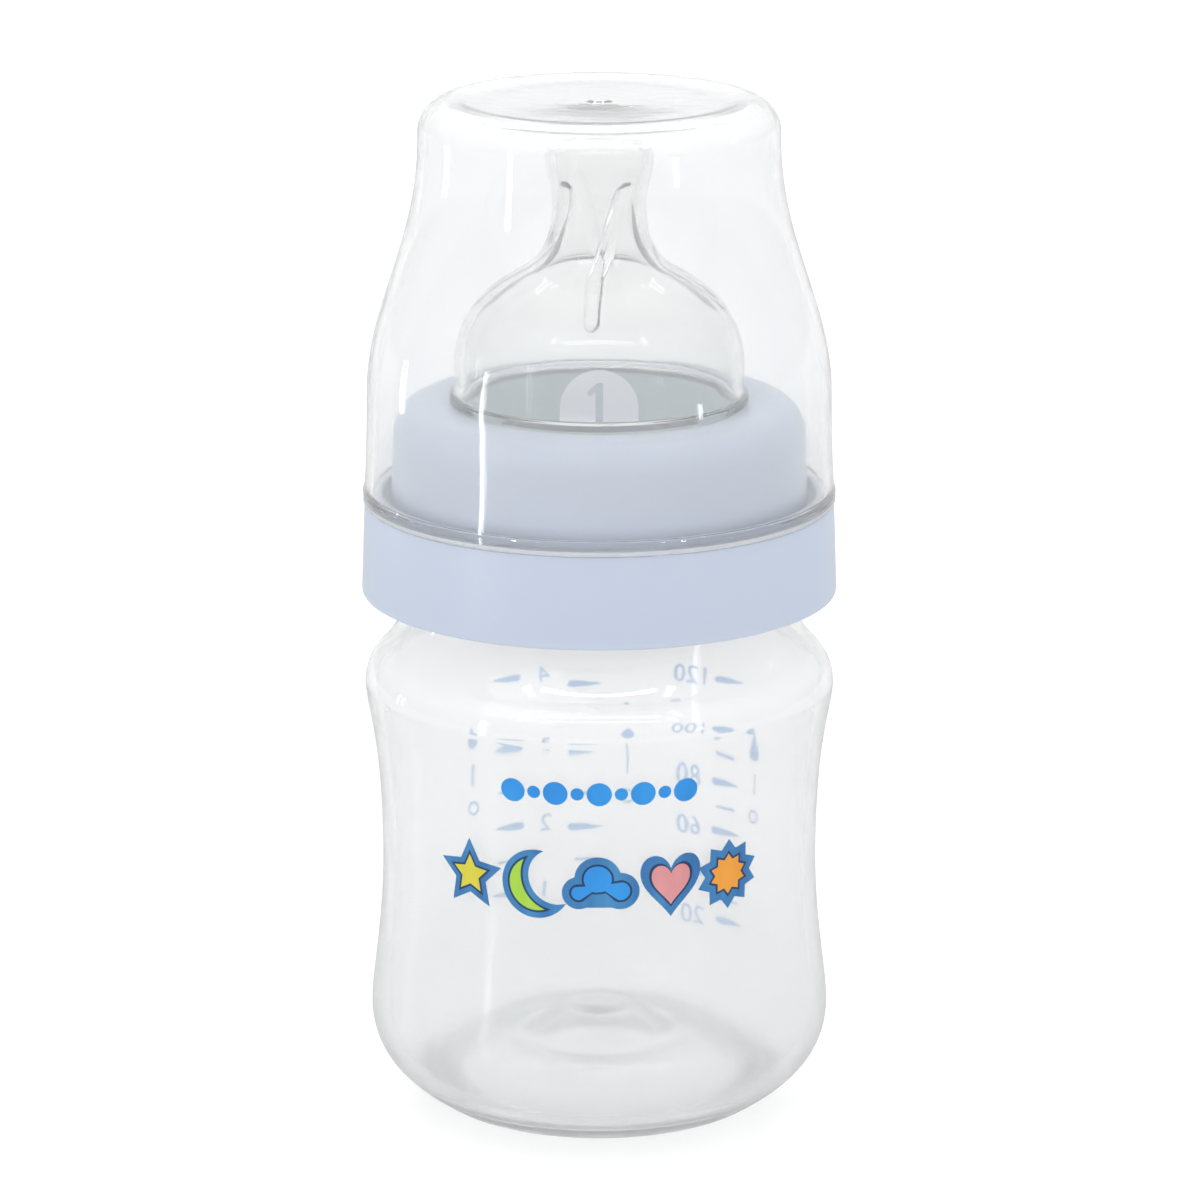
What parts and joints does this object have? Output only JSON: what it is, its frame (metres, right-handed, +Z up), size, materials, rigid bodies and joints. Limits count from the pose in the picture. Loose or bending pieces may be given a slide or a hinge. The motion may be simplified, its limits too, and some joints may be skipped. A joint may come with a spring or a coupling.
{
  "type": "baby bottle",
  "caption": "Wide-neck waisted baby bottle with a screw ring, a ribbed silicone teat, a clear dome cap and printed volume scales and motif.",
  "frame": {"origin": "centre of the foot, on the surface the bottle stands on", "axes": "+Z up along the bottle's axis; -Y towards the front, where the motif is; +X to the right seen from the front"},
  "size_m": [0.0662, 0.0662, 0.1423],
  "materials": {
    "clear_pp": "clear glossy polypropylene",
    "blue_pp": "pale periwinkle glossy polypropylene",
    "silicone": "clear glossy silicone rubber",
    "cap_pp": "clear glossy polypropylene",
    "ink_sky": "glossy printed ink",
    "ink_blue": "glossy printed ink",
    "ink_yellow": "glossy printed ink",
    "ink_lime": "glossy printed ink",
    "ink_pink": "glossy printed ink",
    "ink_orange": "glossy printed ink",
    "ink_scale": "satin printed ink"
  },
  "bodies": {
    "bottle": {"bottle": "clear_pp", "sky_print": "ink_sky", "outline_print": "ink_blue", "yellow_print": "ink_yellow", "lime_print": "ink_lime", "pink_print": "ink_pink", "orange_print": "ink_orange", "ml_scale_print": "ink_scale", "us_oz_scale_print": "ink_scale", "uk_oz_scale_print": "ink_scale"},
    "teat": {"teat": "silicone"},
    "ring": {"screw_ring": "blue_pp"},
    "cap": {"dome_cap": "cap_pp"}
  },
  "joints": [
    {"name": "teat_rise", "type": "slide", "parent": "bottle", "child": "teat", "axis": [0, 0, 1], "range_m": [0, 0.00625]},
    {"name": "ring_turn", "type": "hinge", "parent": "teat", "child": "ring", "pos_m": [0, 0, 0.0862], "axis": [0, 0, 1], "range_deg": [0, 450]},
    {"name": "cap_lift", "type": "slide", "parent": "ring", "child": "cap", "axis": [0, 0, 1], "range_m": [0, 0.056]}
  ],
  "couplings": [
    {"joint": "teat_rise", "follows": "ring_turn", "m_per_rad": 0.0007957}
  ]
}
